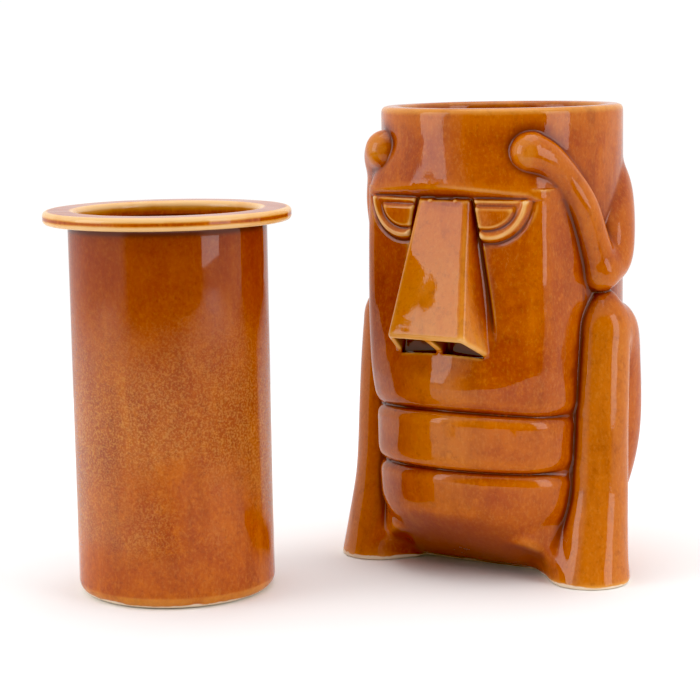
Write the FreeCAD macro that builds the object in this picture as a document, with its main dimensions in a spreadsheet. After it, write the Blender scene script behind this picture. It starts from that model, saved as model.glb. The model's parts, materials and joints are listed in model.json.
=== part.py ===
"""Tiki mug with a removable inner cup.

Two fired, glazed ceramic pieces: the outer mug, a squatting figure around a round well, and the
flanged inner cup that hangs in the well by its rim. Millimetres, +Z up. The origin is on the well's
axis at the table. The figure looks along -Y, so the sheet holds a depth in front of the axis as a
positive number and one behind it as a negative number. The cup is drawn standing on the table
beside the mug.
"""

import os

import FreeCAD
import Part
import Sketcher

Vector = FreeCAD.Vector
Rotation = FreeCAD.Rotation

DIMENSIONS = [
    # Outer mug: round wall, well and the hollow under the well
    ("mug_height", 170.0, "table to rim"),
    ("rim_radius", 44.3, "outside of the round wall"),
    ("rim_round", 2.2, "rounding of both edges of the rim"),
    ("well_radius", 37.0, "bore that takes the inner cup"),
    ("well_floor", 34.0, "height of the step round the lower hollow"),
    ("hollow_top_radius", 32.0, "lower hollow where it opens into the well"),
    ("hollow_low_radius", 20.0, "lower hollow at its floor"),
    ("hollow_low_y", 14.0, "its floor lies further back than the well"),
    ("hollow_overlap", 0.5, "how far the hollow runs up into the well"),
    ("base_thickness", 8.0, "clay under the lower hollow"),
    # Horizontal sections of the face: corner (x, -y) and the radius of the curve across the front
    ("face_back_x", 38.0, "half width of a section where it enters the wall"),
    ("face_back_y", 18.0, "how far behind the axis a section begins"),
    ("wall_front", 35.0, "the round wall is cut flat behind the face"),
    ("brow_x", 34.4, "section under the brow"),
    ("brow_y", 36.0, ""),
    ("brow_z", 139.0, ""),
    ("brow_curve", 190.0, ""),
    ("cheek_x", 35.8, "section at the middle of the nose"),
    ("cheek_y", 35.8, ""),
    ("cheek_z", 104.0, ""),
    ("cheek_curve", 125.0, ""),
    ("jowl_x", 36.0, "section under the nose"),
    ("jowl_y", 34.0, ""),
    ("jowl_z", 76.0, ""),
    ("jowl_curve", 54.0, ""),
    ("mouth_x", 35.8, "section at the groove over the lip"),
    ("mouth_y", 30.0, ""),
    ("mouth_z", 61.0, ""),
    ("mouth_curve", 49.0, ""),
    ("lip_x", 38.5, "section of the lip"),
    ("lip_y", 26.0, ""),
    ("lip_z", 40.5, "groove between the lip and the chin"),
    ("lip_curve", 44.5, ""),
    ("lip_round", 3.5, "slope of the lip's upper and lower edges"),
    ("chin_x", 36.5, "section of the chin"),
    ("chin_y", 26.0, ""),
    ("chin_curve", 45.5, ""),
    ("chin_round", 3.0, "slope of the chin's upper edge"),
    ("chin_foot", 6.0, "slope of the chin's lower edge"),
    ("undercut_x", 35.0, "half width of the slope under the chin"),
    ("undercut_y", 14.5, "where that slope meets the table"),
    ("undercut_angle", 33.0, "degrees up from the table"),
    ("undercut_reach", 60.0, "size of the block that cuts the slope"),
    # Brow ridge, eyes and nose
    ("ridge_radius", 46.2, "outside of the raised line over the eyes"),
    ("ridge_height", 3.0, ""),
    ("ridge_sweep", 96.0, "degrees round the wall"),
    ("eye_x", 22.0, "middle of each half-closed eye"),
    ("eye_y", 36.6, ""),
    ("eye_half_x", 10.4, ""),
    ("eye_half_y", 3.2, ""),
    ("eye_half_z", 15.5, "from the brow down to the lower lid"),
    ("nose_top_x", 9.6, "half width of the nose's front at the brow"),
    ("nose_top_y", 43.6, ""),
    ("nose_top_root_x", 11.5, "half width of the nose's root at the brow"),
    ("nose_low_x", 15.1, "half width of the nose's front at its foot"),
    ("nose_low_y", 57.0, ""),
    ("nose_low_z", 90.0, "front edge of the nose's foot"),
    ("nose_low_root_x", 20.0, "half width of the nose's root at its foot"),
    ("nose_root_y", 36.0, "depth at which the root is buried in the face"),
    ("nose_tilt", 24.0, "degrees by which the nose's foot runs down towards the face"),
    ("nostril_x", 2.6, "near side of each nostril"),
    ("nostril_width", 11.0, ""),
    ("nostril_length", 7.0, ""),
    ("nostril_depth", 6.0, ""),
    ("nostril_inset", 3.0, "from the front edge of the nose's foot"),
    # Joints of the limbs, each a point (x, -y, z) and a radius. Arm: a fist at the temple, down to
    # the elbow on the knee, and up behind it to the shoulder
    ("fist_x", 31.0, ""),
    ("fist_y", 33.6, ""),
    ("fist_z", 154.6, ""),
    ("fist_radius", 7.4, ""),
    ("forearm_x", 41.2, ""),
    ("forearm_y", 17.6, ""),
    ("forearm_z", 136.0, ""),
    ("forearm_radius", 6.4, ""),
    ("elbow_x", 44.2, ""),
    ("elbow_y", 8.0, ""),
    ("elbow_z", 110.8, ""),
    ("elbow_radius", 7.8, ""),
    ("biceps_x", 37.0, ""),
    ("biceps_y", -9.0, ""),
    ("biceps_z", 130.0, ""),
    ("biceps_radius", 11.2, ""),
    ("shoulder_x", 31.5, ""),
    ("shoulder_y", -16.0, ""),
    ("shoulder_z", 147.0, ""),
    ("shoulder_radius", 10.5, ""),
    # Leg: a foot, up the shin to the knee, and behind it down the thigh to the heel
    ("foot_x", 44.8, ""),
    ("foot_y", 17.6, ""),
    ("foot_z", 0.0, ""),
    ("foot_radius", 14.4, ""),
    ("ankle_x", 44.9, ""),
    ("ankle_y", 12.2, ""),
    ("ankle_z", 34.0, ""),
    ("ankle_radius", 11.2, ""),
    ("knee_x", 44.6, ""),
    ("knee_y", 7.4, ""),
    ("knee_z", 92.0, ""),
    ("knee_radius", 10.0, ""),
    ("hip_x", 38.0, ""),
    ("hip_y", -8.0, ""),
    ("hip_z", 68.0, ""),
    ("hip_radius", 13.0, ""),
    ("heel_x", 36.0, ""),
    ("heel_y", -4.0, ""),
    ("heel_z", 30.0, ""),
    ("heel_radius", 12.0, ""),
    # Inner cup
    ("cup_height", 136.8, "table to the top of the flange"),
    ("cup_body_radius", 35.2, "outside of the straight wall"),
    ("cup_mouth_radius", 32.4, "inside of the wall"),
    ("cup_floor", 5.0, "thickness of the cup's floor"),
    ("cup_floor_round", 5.0, ""),
    ("cup_base_round", 2.4, ""),
    ("flange_radius", 43.9, ""),
    ("flange_thickness", 4.6, ""),
    ("flange_round", 2.0, "rounding of the flange's outer edges and of the mouth"),
    ("flange_fillet", 1.2, "inside corner under the flange"),
    ("cup_stand_x", -81.5, "where the cup stands beside the mug"),
    ("cup_stand_y", -96.1, ""),
]

doc = FreeCAD.newDocument("tiki_mug")
sheet = doc.addObject("Spreadsheet::Sheet", "Dims")
size = {}
for row, (alias, value, note) in enumerate(DIMENSIONS, start=1):
    sheet.set(f"A{row}", alias)
    sheet.set(f"B{row}", str(value))
    sheet.set(f"C{row}", note)
    sheet.setAlias(f"B{row}", alias)
    size[alias] = value
doc.recompute()


def cell(expression):
    """Point every name in an expression at its cell in the sheet."""
    return " ".join("Dims." + word if word in size else word for word in expression.split())


def add(kind, name, **bound):
    """Add an object with each of its sizes bound to an expression over the sheet."""
    item = doc.addObject(kind, name)
    for prop, expression in bound.items():
        item.setExpression(prop, cell(expression))
    return item


def place(item, x, y, z):
    """Bind an object's position to three expressions."""
    for axis, expression in zip("xyz", (x, y, z)):
        item.setExpression(f".Placement.Base.{axis}", cell(expression))
    return item


def fuse(name, items):
    joined = doc.addObject("Part::MultiFuse", name)
    joined.Shapes = items
    return joined


def cut(name, base, tool):
    result = doc.addObject("Part::Cut", name)
    result.Base = base
    result.Tool = tool
    return result


def round_edges(name, base, radius, chosen):
    """Round the edges of base for which chosen(edge) holds."""
    doc.recompute()
    numbers = [i for i, edge in enumerate(base.Shape.Edges, start=1) if chosen(edge)]
    rounded = doc.addObject("Part::Fillet", name)
    rounded.Base = base
    rounded.Edges = [(number, size[radius], size[radius]) for number in numbers]
    return rounded


# ---------------------------------------------------------------- sections of the face


def bind_point(sketch, edge, end, point, across, deep):
    """Hold one end of an edge by its two distances from the sketch's origin, bound to the sheet."""
    for kind, distance, name in (("DistanceX", point.x, across), ("DistanceY", point.y, deep)):
        ends = (-1, 1, edge, end) if distance > 0 else (edge, end, -1, 1)
        index = sketch.addConstraint(Sketcher.Constraint(kind, *ends, abs(distance)))
        sketch.setExpression(f"Constraints[{index}]", cell(name))


def face_section(name, stem, height, inset="0"):
    """A horizontal outline: a back edge inside the wall, two straight sides and a curved front.

    The inset moves the whole front of the outline in towards the wall.
    """
    less = size.get(inset, 0.0)
    corner_x, corner_y, curve = (size[f"{stem}_{part}"] - less for part in ("x", "y", "curve"))
    back_right = Vector(size["face_back_x"], size["face_back_y"])
    back_left = Vector(-back_right.x, back_right.y)
    right = Vector(corner_x, -corner_y)
    left = Vector(-corner_x, -corner_y)
    front = Vector(0, (curve**2 - corner_x**2) ** 0.5 - corner_y - curve)

    sketch = doc.addObject("Sketcher::SketchObject", name + "_section")
    edges = [
        Part.LineSegment(back_left, back_right),
        Part.LineSegment(back_right, right),
        Part.Arc(right, front, left),
        Part.LineSegment(left, back_left),
    ]
    sketch.addGeometry(edges, False)
    back_edge, right_edge, front_edge, left_edge = range(4)
    start, end, upright_axis = 1, 2, -2
    for join in (
        (back_edge, end, right_edge, start),
        (right_edge, end, front_edge, end),
        (front_edge, start, left_edge, start),
        (left_edge, end, back_edge, start),
    ):
        sketch.addConstraint(Sketcher.Constraint("Coincident", *join))
    for pair in ((back_edge, start, back_edge, end), (left_edge, start, right_edge, end)):
        sketch.addConstraint(Sketcher.Constraint("Symmetric", *pair, upright_axis))
    corner_names = (f"{stem}_x - {inset}", f"{stem}_y - {inset}")
    bind_point(sketch, right_edge, start, back_right, "face_back_x", "face_back_y")
    bind_point(sketch, right_edge, end, right, *corner_names)
    index = sketch.addConstraint(Sketcher.Constraint("Radius", front_edge, curve))
    sketch.setExpression(f"Constraints[{index}]", cell(f"{stem}_curve - {inset}"))
    return place(sketch, "0", "0", height)


def loft(name, sections, ruled=False):
    item = doc.addObject("Part::Loft", name)
    item.Sections = sections
    item.Solid = True
    item.Ruled = ruled
    return item


def band(stem, top, bottom, inset, low_inset):
    """A raised band across the face, its upper and lower edges sloped back by their insets."""
    sections = [
        face_section(stem + "_low_edge", stem, bottom, low_inset),
        face_section(stem + "_low", stem, f"{bottom} + {low_inset}", "0"),
        face_section(stem + "_high", stem, f"{top} - {inset}", "0"),
        face_section(stem + "_high_edge", stem, top, inset),
    ]
    return loft(stem, sections, ruled=True)


# ---------------------------------------------------------------- limbs


def right_point(stem):
    """A joint of the right-hand limbs."""
    return Vector(size[stem + "_x"], -size[stem + "_y"], size[stem + "_z"])


def ball(stem):
    item = add("Part::Sphere", stem + "_ball", Radius=stem + "_radius")
    return place(item, stem + "_x", f"- {stem}_y", stem + "_z")


def limb(low, high):
    """A tapered round limb from one joint to another."""
    along = right_point(high) - right_point(low)
    item = add("Part::Cone", f"{low}_to_{high}", Radius1=low + "_radius", Radius2=high + "_radius")
    item.Height = along.Length
    item.Placement = FreeCAD.Placement(right_point(low), Rotation(Vector(0, 0, 1), along))
    return item


def mirrored(name, source):
    item = doc.addObject("Part::Mirroring", name)
    item.Source = source
    item.Normal = Vector(1, 0, 0)
    return item


# ---------------------------------------------------------------- outer mug


def round_wall():
    """The round wall, cut flat behind the face so that the eyes and cheeks can lie deeper."""
    wall = add("Part::Cylinder", "round_wall", Radius="rim_radius", Height="mug_height")
    flat = add(
        "Part::Box",
        "flat_front_cutter",
        Length="2 * rim_radius",
        Width="rim_radius",
        Height="brow_z",
    )
    place(flat, "- rim_radius", "- wall_front - rim_radius", "0")
    return cut("wall_with_flat_front", wall, flat)


def nose_outline(name, front_x, root_x, length):
    """A symmetric trapezium, its front edge on the sketch's X axis."""
    sketch = doc.addObject("Sketcher::SketchObject", name)
    corners = [
        Vector(-size[front_x], 0),
        Vector(size[front_x], 0),
        Vector(size[root_x], length),
        Vector(-size[root_x], length),
    ]
    edges = [Part.LineSegment(a, b) for a, b in zip(corners, corners[1:] + corners[:1])]
    sketch.addGeometry(edges, False)
    start, end, upright_axis = 1, 2, -2
    for index in range(4):
        following = (index + 1) % 4
        sketch.addConstraint(Sketcher.Constraint("Coincident", index, end, following, start))
    for edge in (0, 2):
        pair = (edge, start, edge, end, upright_axis)
        sketch.addConstraint(Sketcher.Constraint("Symmetric", *pair))
    sketch.addConstraint(Sketcher.Constraint("PointOnObject", 0, start, -1))
    for edge, name_of_size in ((0, front_x), (2, root_x)):
        low, high = (start, end) if edge == 0 else (end, start)
        constraint = Sketcher.Constraint("DistanceX", edge, low, edge, high, 2 * size[name_of_size])
        index = sketch.addConstraint(constraint)
        sketch.setExpression(f"Constraints[{index}]", cell(f"2 * {name_of_size}"))
    sketch.addConstraint(Sketcher.Constraint("DistanceY", 1, start, 1, end, length))
    return sketch


def nose():
    """A long wedge that widens and stands out towards its foot, with two nostrils under it."""
    tilt = Rotation(Vector(1, 0, 0), -size["nose_tilt"])
    top = nose_outline(
        "nose_top_section", "nose_top_x", "nose_top_root_x", size["nose_top_y"] - size["nose_root_y"]
    )
    place(top, "0", "- nose_top_y", "brow_z")
    run = (size["nose_low_y"] - size["nose_root_y"]) / abs(tilt.multVec(Vector(0, 1, 0)).y)
    foot = nose_outline("nose_low_section", "nose_low_x", "nose_low_root_x", run)
    foot.Placement.Rotation = tilt
    place(foot, "0", "- nose_low_y", "nose_low_z")
    nostrils = []
    for side, start_x in (("right", "nostril_x"), ("left", "- nostril_x - nostril_width")):
        hole = add(
            "Part::Box",
            side + "_nostril_cutter",
            Length="nostril_width",
            Width="nostril_length",
            Height="2 * nostril_depth",
        )
        hole.Placement.Rotation = tilt
        inset = tilt.multVec(Vector(0, size["nostril_inset"], -size["nostril_depth"]))
        place(hole, start_x, f"{inset.y} - nose_low_y", f"{inset.z} + nose_low_z")
        nostrils.append(hole)
    return cut("nose", loft("nose_wedge", [top, foot], ruled=True), fuse("nostril_cutters", nostrils))


def eye(name, across):
    """The lower half of a flat ellipsoid hanging from the brow."""
    item = add(
        "Part::Ellipsoid", name, Radius1="eye_half_z", Radius2="eye_half_x", Radius3="eye_half_y"
    )
    item.Angle1 = -90
    item.Angle2 = 0
    return place(item, across, "- eye_y", "brow_z")


def head():
    """Face, lip and chin around the round wall, with the slope cut away under the chin."""
    sections = [face_section(stem, stem, stem + "_z") for stem in ("mouth", "jowl", "cheek", "brow")]
    ridge = add(
        "Part::Cylinder",
        "brow_ridge",
        Radius="ridge_radius",
        Height="ridge_height",
        Angle="ridge_sweep",
    )
    ridge.Placement.Rotation = Rotation(Vector(0, 0, 1), -90 - size["ridge_sweep"] / 2)
    place(ridge, "0", "0", "brow_z")
    blocks = [
        round_wall(),
        loft("face", sections),
        band("lip", "mouth_z", "lip_z", "lip_round", "lip_round"),
        band("chin", "lip_z", "0", "chin_round", "chin_foot"),
        ridge,
        nose(),
        eye("right_eye", "eye_x"),
        eye("left_eye", "- eye_x"),
    ]
    slope = add(
        "Part::Box",
        "undercut_cutter",
        Length="2 * undercut_x",
        Width="undercut_reach",
        Height="undercut_reach",
    )
    turn = Rotation(Vector(1, 0, 0), -size["undercut_angle"])
    slope.Placement.Rotation = turn
    reach = size["undercut_reach"]
    corner = turn.multVec(Vector(0, -reach, -reach))
    place(slope, "- undercut_x", f"{corner.y} - undercut_y", f"{corner.z}")
    return cut("head", fuse("head_blocks", blocks), slope)


def limbs():
    """The right arm and leg, and their mirror image."""
    arm = ("fist", "forearm", "elbow", "biceps", "shoulder")
    leg = ("foot", "ankle", "knee", "hip", "heel")
    bones = [limb(low, high) for chain in (arm, leg) for low, high in zip(chain, chain[1:])]
    joints = [ball(stem) for stem in arm + leg[1:]]
    right = fuse("right_limbs", bones + joints)
    return [right, mirrored("left_limbs", right)]


def well():
    """The bore for the inner cup, and the narrower hollow below it."""
    bore = add("Part::Cylinder", "well_cutter", Radius="well_radius", Height="mug_height")
    place(bore, "0", "0", "well_floor")
    mouth = add("Part::Circle", "hollow_top_section", Radius="hollow_top_radius")
    place(mouth, "0", "0", "well_floor + hollow_overlap")
    floor = add("Part::Circle", "hollow_low_section", Radius="hollow_low_radius")
    place(floor, "0", "hollow_low_y", "base_thickness")
    return fuse("hollow", [bore, loft("hollow_cutter", [floor, mouth], ruled=True)])


def outer_mug():
    figure = fuse("figure", [head(), *limbs()])
    table = add(
        "Part::Box", "table_cutter", Length="4 * rim_radius", Width="4 * rim_radius", Height="foot_radius"
    )
    place(table, "-2 * rim_radius", "-2 * rim_radius", "- foot_radius")
    hollowed = cut("hollowed_figure", figure, fuse("cutters", [well(), table]))

    def on_rim(edge):
        box = edge.BoundBox
        return box.ZLength < 1e-6 and abs(box.ZMin - size["mug_height"]) < 1e-6

    return round_edges("outer_mug", hollowed, "rim_round", on_rim)


# ---------------------------------------------------------------- inner cup


def origin_plane(body, role):
    return next(feature for feature in body.Origin.OriginFeatures if feature.Role == role)


def inner_cup():
    """A straight cup turned about its axis, with a flat flange round its mouth."""
    body = doc.addObject("PartDesign::Body", "inner_cup")
    sketch = body.newObject("Sketcher::SketchObject", "cup_profile")
    sketch.AttachmentSupport = [(origin_plane(body, "XZ_Plane"), "")]
    sketch.MapMode = "FlatFace"
    corners = [
        ("", ""),
        ("cup_body_radius", ""),
        ("cup_body_radius", "cup_height - flange_thickness"),
        ("flange_radius", "cup_height - flange_thickness"),
        ("flange_radius", "cup_height"),
        ("cup_mouth_radius", "cup_height"),
        ("cup_mouth_radius", "cup_floor"),
        ("", "cup_floor"),
    ]
    under_flange = size["cup_height"] - size["flange_thickness"]
    heights = {"": 0.0, "cup_height - flange_thickness": under_flange}
    points = [Vector(size.get(across, 0.0), heights.get(up, size.get(up)), 0) for across, up in corners]
    edges = [Part.LineSegment(a, b) for a, b in zip(points, points[1:] + points[:1])]
    sketch.addGeometry(edges, False)
    start, end = 1, 2
    for index, (across, up) in enumerate(corners):
        previous = (index - 1) % len(corners)
        sketch.addConstraint(Sketcher.Constraint("Coincident", previous, end, index, start))
        for kind, name, axis, value in (
            ("DistanceX", across, -2, points[index].x),
            ("DistanceY", up, -1, points[index].y),
        ):
            if name:
                number = sketch.addConstraint(Sketcher.Constraint(kind, -1, 1, index, start, value))
                sketch.setExpression(f"Constraints[{number}]", cell(name))
            else:
                sketch.addConstraint(Sketcher.Constraint("PointOnObject", index, start, axis))
    turned = body.newObject("PartDesign::Revolution", "cup_turned")
    turned.Profile = sketch
    turned.ReferenceAxis = (sketch, ["V_Axis"])
    turned.Angle = 360
    doc.recompute()

    def round_circles(name, base, radius, circles):
        """Round the circular edges that lie at one of the (radius, height) pairs."""

        def wanted(edge):
            if not isinstance(edge.Curve, Part.Circle):
                return False
            found = (edge.Curve.Radius, edge.Curve.Center.z)
            return any(abs(found[0] - r) < 0.01 and abs(found[1] - z) < 0.01 for r, z in circles)

        edges = [f"Edge{i}" for i, edge in enumerate(base.Shape.Edges, start=1) if wanted(edge)]
        rounded = body.newObject("PartDesign::Fillet", name)
        rounded.Base = (base, edges)
        rounded.setExpression("Radius", cell(radius))
        doc.recompute()
        return rounded

    top, floor, mouth = size["cup_height"], size["cup_floor"], size["cup_mouth_radius"]
    outer_edges = [(size["flange_radius"], under_flange), (size["flange_radius"], top), (mouth, top)]
    flange = round_circles("flange_rounds", turned, "flange_round", outer_edges)
    neck = round_circles(
        "neck_fillet", flange, "flange_fillet", [(size["cup_body_radius"], under_flange)]
    )
    base = round_circles("base_round", neck, "cup_base_round", [(size["cup_body_radius"], 0.0)])
    round_circles("floor_round", base, "cup_floor_round", [(mouth, floor)])
    return place(body, "cup_stand_x", "cup_stand_y", "0")


# ---------------------------------------------------------------- build, check and write

NODES = [outer_mug(), inner_cup()]
doc.recompute()

failed = [item.Name for item in doc.Objects if "Invalid" in item.State or "Error" in item.State]
if failed:
    raise SystemExit(f"these objects did not build: {failed}")

os.makedirs("parts", exist_ok=True)
for node in NODES:
    shape = node.Shape
    if shape.isNull() or not shape.isValid():
        raise SystemExit(f"{node.Label} has no valid shape")
    if len(shape.Solids) != 1:
        raise SystemExit(f"{node.Label} holds {len(shape.Solids)} solids")
    bounds = shape.optimalBoundingBox(False)
    print(
        f"{node.Label}: volume {shape.Volume / 1000:.1f} cm3, "
        f"{bounds.XLength:.1f} x {bounds.YLength:.1f} x {bounds.ZLength:.1f} mm"
    )
    shape.exportStep(f"parts/{node.Label}.step")
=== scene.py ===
"""Looks of the tiki mug and its inner cup: sculpted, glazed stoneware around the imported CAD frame."""

import json
import math

import bpy
import numpy as np
from mathutils import Matrix, Vector


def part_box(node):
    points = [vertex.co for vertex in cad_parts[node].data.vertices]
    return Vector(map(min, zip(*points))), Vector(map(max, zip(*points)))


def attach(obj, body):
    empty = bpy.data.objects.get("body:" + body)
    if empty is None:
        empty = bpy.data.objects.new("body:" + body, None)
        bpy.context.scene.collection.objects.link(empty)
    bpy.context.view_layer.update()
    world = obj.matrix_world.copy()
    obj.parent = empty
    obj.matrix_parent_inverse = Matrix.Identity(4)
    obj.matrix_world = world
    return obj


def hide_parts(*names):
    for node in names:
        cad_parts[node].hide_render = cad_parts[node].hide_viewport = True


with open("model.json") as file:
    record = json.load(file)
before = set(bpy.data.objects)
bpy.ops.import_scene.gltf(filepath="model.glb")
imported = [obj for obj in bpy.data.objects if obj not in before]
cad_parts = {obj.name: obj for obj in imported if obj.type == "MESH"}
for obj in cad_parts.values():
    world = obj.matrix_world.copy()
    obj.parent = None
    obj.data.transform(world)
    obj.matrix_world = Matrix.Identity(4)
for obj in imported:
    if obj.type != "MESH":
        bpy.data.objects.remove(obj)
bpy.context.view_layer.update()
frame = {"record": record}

# ------------------------------------------------------------------ sizes, from the frame

mounts = {mount["name"]: mount for mount in frame["record"]["mounts"]}
mug_low, mug_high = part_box("outer_mug")
cup_low, cup_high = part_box("inner_cup")

# The figure's points below are millimetres on a mug 170 mm tall, looking along -Y.
TOP = 170.0
MM = mug_high.z / TOP
RIM_R = mug_high.y / MM
WELL_R = mounts["well"]["dims"]["r_mm"] * 0.001 / MM
RIM_ROUND = 2.2  # the well's straight wall starts this far under the rim
WELL_FLOOR = TOP - RIM_ROUND - mounts["well"]["dims"]["length_mm"] * 0.001 / MM
BROW_Z = 139.0
BROW_SECTION = (35.8, 36.8, 130.0)  # of the face under the brow: corner x, corner depth, curve
ROOT = (math.sqrt(RIM_R**2 - 15.0**2), -15.0)  # where the flat sides of the head meet the round wall

VOXEL = 1.05
LEAST_TURNS = ((14.0, 11.0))  # degrees over a triangle that split it
LEAST_EDGE = 0.42
MOST_TRIANGLES = 190_000
NEAR, WIDE = 1.4, 4.5  # how far round a point the glaze is shaped by grooves and edges

# ------------------------------------------------------------------ distance fields


def smooth_min(a, b, blend):
    """The smaller of two fields, with a rounded inside corner of about the blend's size."""
    share = np.clip(0.5 + 0.5 * (b - a) / blend, 0.0, 1.0)
    return b + (a - b) * share - blend * share * (1.0 - share)


def smooth_max(a, b, blend):
    """The larger of two fields, with a rounded outside corner of about the blend's size."""
    return -smooth_min(-a, -b, blend)


def smooth_step(value, low, high):
    """From 0 at low to 1 at high, eased at both ends."""
    share = np.clip((value - low) / (high - low), 0.0, 1.0)
    return share * share * (3.0 - 2.0 * share)


def bump(value, centre, width):
    """A bell that is 1 at its centre."""
    return np.exp(-(((value - centre) / width) ** 2))


def plane(grid, point, normal):
    """Signed distance to a plane, positive on the side the normal points to."""
    length = math.sqrt(sum(n * n for n in normal))
    return sum((g - p) * (n / length) for g, p, n in zip(grid, point, normal))


def plane_through(grid, a, b, c):
    """A plane through three points, its normal by the right-hand rule."""
    return plane(grid, a, np.cross(np.subtract(b, a), np.subtract(c, a)))


def limb(grid, low, high):
    """A tapered round limb between two joints, each (x, y, z, radius)."""
    along = np.subtract(high[:3], low[:3])
    length = math.sqrt(float(np.dot(along, along)))
    taper = (high[3] - low[3]) / length
    offset = [g - p for g, p in zip(grid, low[:3])]
    run = sum(o * a for o, a in zip(offset, along)) / length
    away = np.sqrt(np.maximum(sum(o * o for o in offset) - run * run, 0.0))
    nearest = np.clip(run + away * (taper / math.sqrt(1.0 - taper**2)), 0.0, length)
    return np.sqrt(away * away + (run - nearest) ** 2) - (low[3] + taper * nearest)


def smooth_path(joints, steps):
    """Points on a smooth curve through the joints."""
    knots = np.array([joints[0], *joints, joints[-1]], float)
    path = []
    for before, start, end, after in zip(knots, knots[1:], knots[2:], knots[3:]):
        for t in np.arange(steps) / steps:
            bend = (2 * before - 5 * start + 4 * end - after) * t**2
            twist = (3 * start - before - 3 * end + after) * t**3
            path.append(start + 0.5 * ((end - before) * t + bend + twist))
    return [*path, knots[-1]]


def chain(grid, joints, steps=6):
    """A limb along a smooth curve through its joints."""
    path = smooth_path(joints, steps)
    field = limb(grid, path[0], path[1])
    for low, high in zip(path[1:], path[2:]):
        field = np.minimum(field, limb(grid, low, high))
    return field


def stations(z, heights, values, soften):
    """A value that runs through stations up the figure, softened over some millimetres."""
    fine = np.arange(heights[0] - 4 * soften, heights[-1] + 4 * soften, 0.25)
    reach = np.arange(-3 * soften, 3 * soften + 0.25, 0.25)
    kernel = np.exp(-0.5 * (reach / soften) ** 2)
    raw = np.pad(np.interp(fine, heights, values), len(reach) // 2, mode="edge")
    soft = np.convolve(raw, kernel / kernel.sum(), mode="valid")[: len(fine)]
    return np.interp(z, fine, soft)


def front_depth(x, corner_x, corner_y, curve):
    """Depth in front of the axis of a curved front that passes through the corners (+-x, -y)."""
    across = np.minimum(np.abs(x), curve * 0.97)
    return corner_y + np.sqrt(curve**2 - across**2) - np.sqrt(curve**2 - corner_x**2)


def front_wall(grid, corner_x, corner_y, curve):
    """Distance in front of that curved front."""
    x, y, _ = grid
    across = np.minimum(np.abs(x), curve * 0.97)
    slope = across / np.sqrt(curve**2 - across**2)
    return (-y - front_depth(x, corner_x, corner_y, curve)) / np.sqrt(1.0 + slope**2)


def side_wall(grid, corner_x, corner_y):
    """Distance outside the flat side that runs from the corner back to the round wall."""
    x, y, _ = grid
    run_x, run_y = ROOT[0] - corner_x, corner_y + ROOT[1]
    return ((x - corner_x) * run_y - (y + corner_y) * run_x) / np.sqrt(run_x**2 + run_y**2)


# ------------------------------------------------------------------ the figure, for x >= 0

FIST = (29.8, -33.2, 154.6, 7.3)
ELBOW = (44.0, -8.2, 111.6, 7.2)
FOREARM = [
    FIST,
    (33.7, -29.0, 151.6, 6.7),
    (37.4, -22.5, 144.6, 6.1),
    (41.2, -17.2, 135.0, 6.1),
    (42.8, -12.4, 123.0, 6.3),
    ELBOW,
]
UPPER_ARM = [
    ELBOW,
    (43.2, -0.6, 116.0, 9.0),
    (39.8, 5.5, 126.0, 10.4),
    (34.5, 13.0, 138.0, 11.0),
    (31.5, 15.5, 147.0, 9.2),
]
KNEE = (44.4, -7.2, 91.0, 9.9)
SHIN = [
    (44.8, -17.6, -2.0, 14.3),
    (44.8, -15.0, 14.0, 12.6),
    (45.0, -12.0, 32.0, 11.1),
    (45.0, -10.4, 58.0, 10.5),
    (44.8, -8.8, 78.0, 10.3),
    KNEE,
    (44.0, -6.4, 98.6, 6.6),
]
THIGH = [
    KNEE,
    (43.0, 0.0, 89.0, 11.2),
    (40.0, 5.2, 77.0, 12.5),
    (38.8, 7.4, 58.0, 13.0),
    (37.6, 6.4, 44.0, 12.9),
    (36.0, 3.5, 30.0, 11.6),
]
UNDERCUT = (0.0, -0.562, -0.827)  # the way the chin's underside faces
NOSE_TOP, NOSE_TIP, NOSE_ROOT = (10.0, -43.2, 138.4), (15.5, -57.0, 90.3), (19.6, -43.2, 82.6)


def mouth_arch(x):
    """How far the grooves over and under the lip rise towards the middle."""
    return 1.9 * np.clip(1.0 - (x / 36.0) ** 2, 0.0, 1.0)


def crown_field(grid):
    """Forehead and rim: round at the rim, squared towards the brow, with a bevelled brow line."""
    x, y, z = grid
    heights = [141, 149, 159]
    corner_x = stations(z, heights, [35.8, 34.0, 30.0], 1.5)
    corner_y = stations(z, heights, [36.8, 34.6, 32.6], 1.5)
    curve = stations(z, heights, [82.0, 62.0, 44.3], 1.5)
    temple = smooth_max(
        front_wall(grid, corner_x, corner_y, curve), side_wall(grid, corner_x, corner_y), 4.6
    )
    temple = smooth_max(temple, z - 160.0, 8.0)
    temple = np.maximum(temple + 2.5 * smooth_step(y, -22.0, -8.0), y + 6.0)
    field = smooth_min(np.sqrt(x**2 + y**2) - RIM_R, temple, 1.6)
    bevel = (-y - front_depth(x, *BROW_SECTION)) * 0.72 + (BROW_Z - z) * 0.69
    field = smooth_max(field, bevel, 1.0)
    return np.maximum(field, BROW_Z - 0.3 - z)


def half_moon(x, z, centre_x, centre_z, half_x, half_z, top):
    """Distance inside the part of an oval that hangs from a level line."""
    away = np.sqrt(((x - centre_x) / half_x) ** 2 + ((z - centre_z) / half_z) ** 2)
    return smooth_min((1.0 - away) * (half_x + half_z) * 0.5, top - z, 1.0)


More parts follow.
